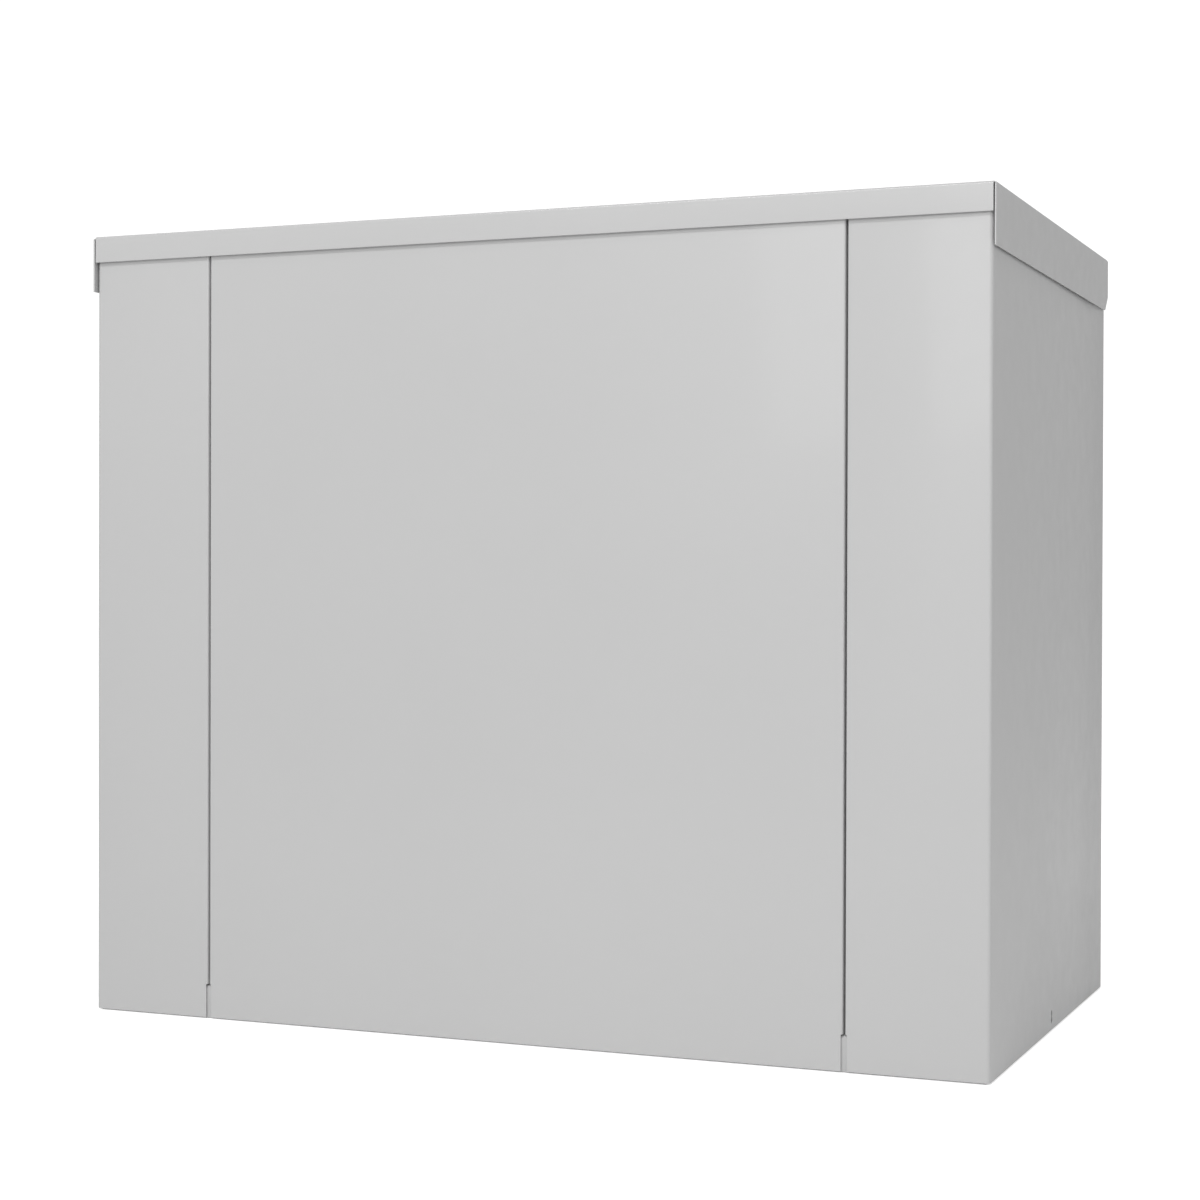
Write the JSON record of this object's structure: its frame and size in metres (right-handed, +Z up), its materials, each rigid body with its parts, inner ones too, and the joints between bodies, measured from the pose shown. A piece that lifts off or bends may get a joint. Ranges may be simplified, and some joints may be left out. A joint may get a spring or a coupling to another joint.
{
  "type": "home standby generator",
  "caption": "Light-grey sheet-steel standby generator cabinet with a hinged lid over a gas engine, alternator and control compartment.",
  "frame": {"origin": "centre of the bounding box's bottom face, on the ground", "axes": "+X along the cabinet towards the plain end wall, +Y from the seamed front wall to the hinged back, +Z up"},
  "size_m": [0.866, 0.5117, 0.73],
  "materials": {
    "aluminised_steel": "aluminised steel, heat tinted",
    "black_plastic": "moulded black plastic",
    "brass": "turned brass",
    "cast_aluminium": "as-cast aluminium",
    "ceramic_white": "white glazed ceramic",
    "copper": "varnished copper winding on a steel core",
    "dark_steel": "satin black painted steel",
    "engine_black": "satin black paint",
    "foam": "open-cell acoustic foam",
    "green_plastic": "moulded green plastic",
    "grey_plastic": "moulded grey plastic",
    "powder_coat": "fine-textured light grey powder coat",
    "red_plastic": "moulded red plastic",
    "rubber": "moulded rubber",
    "yellow_plastic": "moulded yellow plastic",
    "zinc": "zinc plated steel"
  },
  "bodies": {
    "cabinet": {"right_end_wall": "powder_coat", "left_end_wall": "powder_coat", "front_panel": "powder_coat", "back_panel": "powder_coat", "base_pan": "powder_coat", "bulkhead": "powder_coat", "hinge_body_leaf_left": "powder_coat", "hinge_body_leaf_right": "powder_coat", "engine_cradle": "dark_steel", "stator_housing": "dark_steel", "hinge_pin_left": "zinc", "hinge_pin_right": "zinc", "prop_keeper": "zinc", "battery_strap": "zinc", "crankcase": "cast_aluminium", "cylinder": "cast_aluminium", "cylinder_head": "cast_aluminium", "adapter_housing": "cast_aluminium", "end_bell": "cast_aluminium", "mixer": "cast_aluminium", "fuel_regulator": "cast_aluminium", "rocker_cover": "engine_black", "blower_housing": "engine_black", "starter_motor": "engine_black", "isolator_left_front": "rubber", "isolator_left_back": "rubber", "isolator_right_front": "rubber", "isolator_right_back": "rubber", "fuel_hose": "rubber", "rim_seal": "foam", "exhaust_pipe": "aluminised_steel", "muffler": "aluminised_steel", "air_cleaner": "black_plastic", "battery": "black_plastic", "breaker": "black_plastic", "control_box": "grey_plastic", "fuel_inlet": "brass", "oil_filter": "yellow_plastic", "spark_plug": "ceramic_white"},
    "lid": {"lid": "powder_coat", "lid_liner": "foam", "hinge_lid_leaf_left": "powder_coat", "hinge_lid_leaf_right": "powder_coat", "lock_striker": "zinc", "prop_bracket": "zinc"},
    "prop": {"prop_rod": "zinc"},
    "lid_lock": {"lock_barrel": "zinc", "lock_cam": "zinc"},
    "crank": {"flywheel": "cast_aluminium", "crankshaft": "zinc", "rotor": "copper", "alternator_fan": "black_plastic"},
    "throttle": {"throttle_lever": "zinc"},
    "governor": {"governor_arm": "zinc"},
    "dipstick": {"dipstick": "yellow_plastic"},
    "off_button": {"button_off": "red_plastic"},
    "auto_button": {"button_auto": "green_plastic"},
    "manual_button": {"button_manual": "yellow_plastic"},
    "breaker_switch": {"breaker_toggle": "ceramic_white"},
    "fuel_valve": {"fuel_valve_handle": "zinc"}
  },
  "joints": [
    {"name": "lid_hinge", "type": "hinge", "parent": "cabinet", "child": "lid", "pos_m": [0, 0.2562, 0.7003], "axis": [-1, 0, 0], "range_deg": [0, 62]},
    {"name": "prop_swing", "type": "hinge", "parent": "lid", "child": "prop", "pos_m": [0.402, -0.16, 0.7], "axis": [-1, 0, 0], "range_deg": [0, 37.7]},
    {"name": "lock_turn", "type": "hinge", "parent": "cabinet", "child": "lid_lock", "pos_m": [-0.4275, 0, 0.64], "axis": [1, 0, 0], "range_deg": [0, 90]},
    {"name": "crank_spin", "type": "hinge", "parent": "cabinet", "child": "crank", "pos_m": [-0.3, 0.02, 0.205], "axis": [1, 0, 0], "continuous": true},
    {"name": "throttle_turn", "type": "hinge", "parent": "cabinet", "child": "throttle", "pos_m": [-0.0567, -0.04673, 0.41563], "axis": [0, 0, 1], "range_deg": [0, 35], "stiffness_Nm_per_rad": 0.02},
    {"name": "governor_turn", "type": "hinge", "parent": "cabinet", "child": "governor", "pos_m": [-0.089, 0.1, 0.2623], "axis": [0, 0, 1], "range_deg": [0, 20]},
    {"name": "dipstick_pull", "type": "slide", "parent": "cabinet", "child": "dipstick", "axis": [0, 0, 1], "range_m": [0, 0.18]},
    {"name": "off_press", "type": "slide", "parent": "cabinet", "child": "off_button", "axis": [0, 0, -1], "range_m": [0, 0.0025], "stiffness_N_per_m": 300},
    {"name": "auto_press", "type": "slide", "parent": "cabinet", "child": "auto_button", "axis": [0, 0, -1], "range_m": [0, 0.0025], "stiffness_N_per_m": 300},
    {"name": "manual_press", "type": "slide", "parent": "cabinet", "child": "manual_button", "axis": [0, 0, -1], "range_m": [0, 0.0025], "stiffness_N_per_m": 300},
    {"name": "breaker_throw", "type": "hinge", "parent": "cabinet", "child": "breaker_switch", "pos_m": [0.1998, 0.075, 0.66], "axis": [-1, 0, 0], "range_deg": [0, 40]},
    {"name": "fuel_valve_turn", "type": "hinge", "parent": "cabinet", "child": "fuel_valve", "pos_m": [0.1, 0.222, 0.1243], "axis": [0, 0, 1], "range_deg": [0, 90]}
  ],
  "couplings": [
    {"joint": "governor_turn", "follows": "throttle_turn", "ratio": 0.5172}
  ]
}
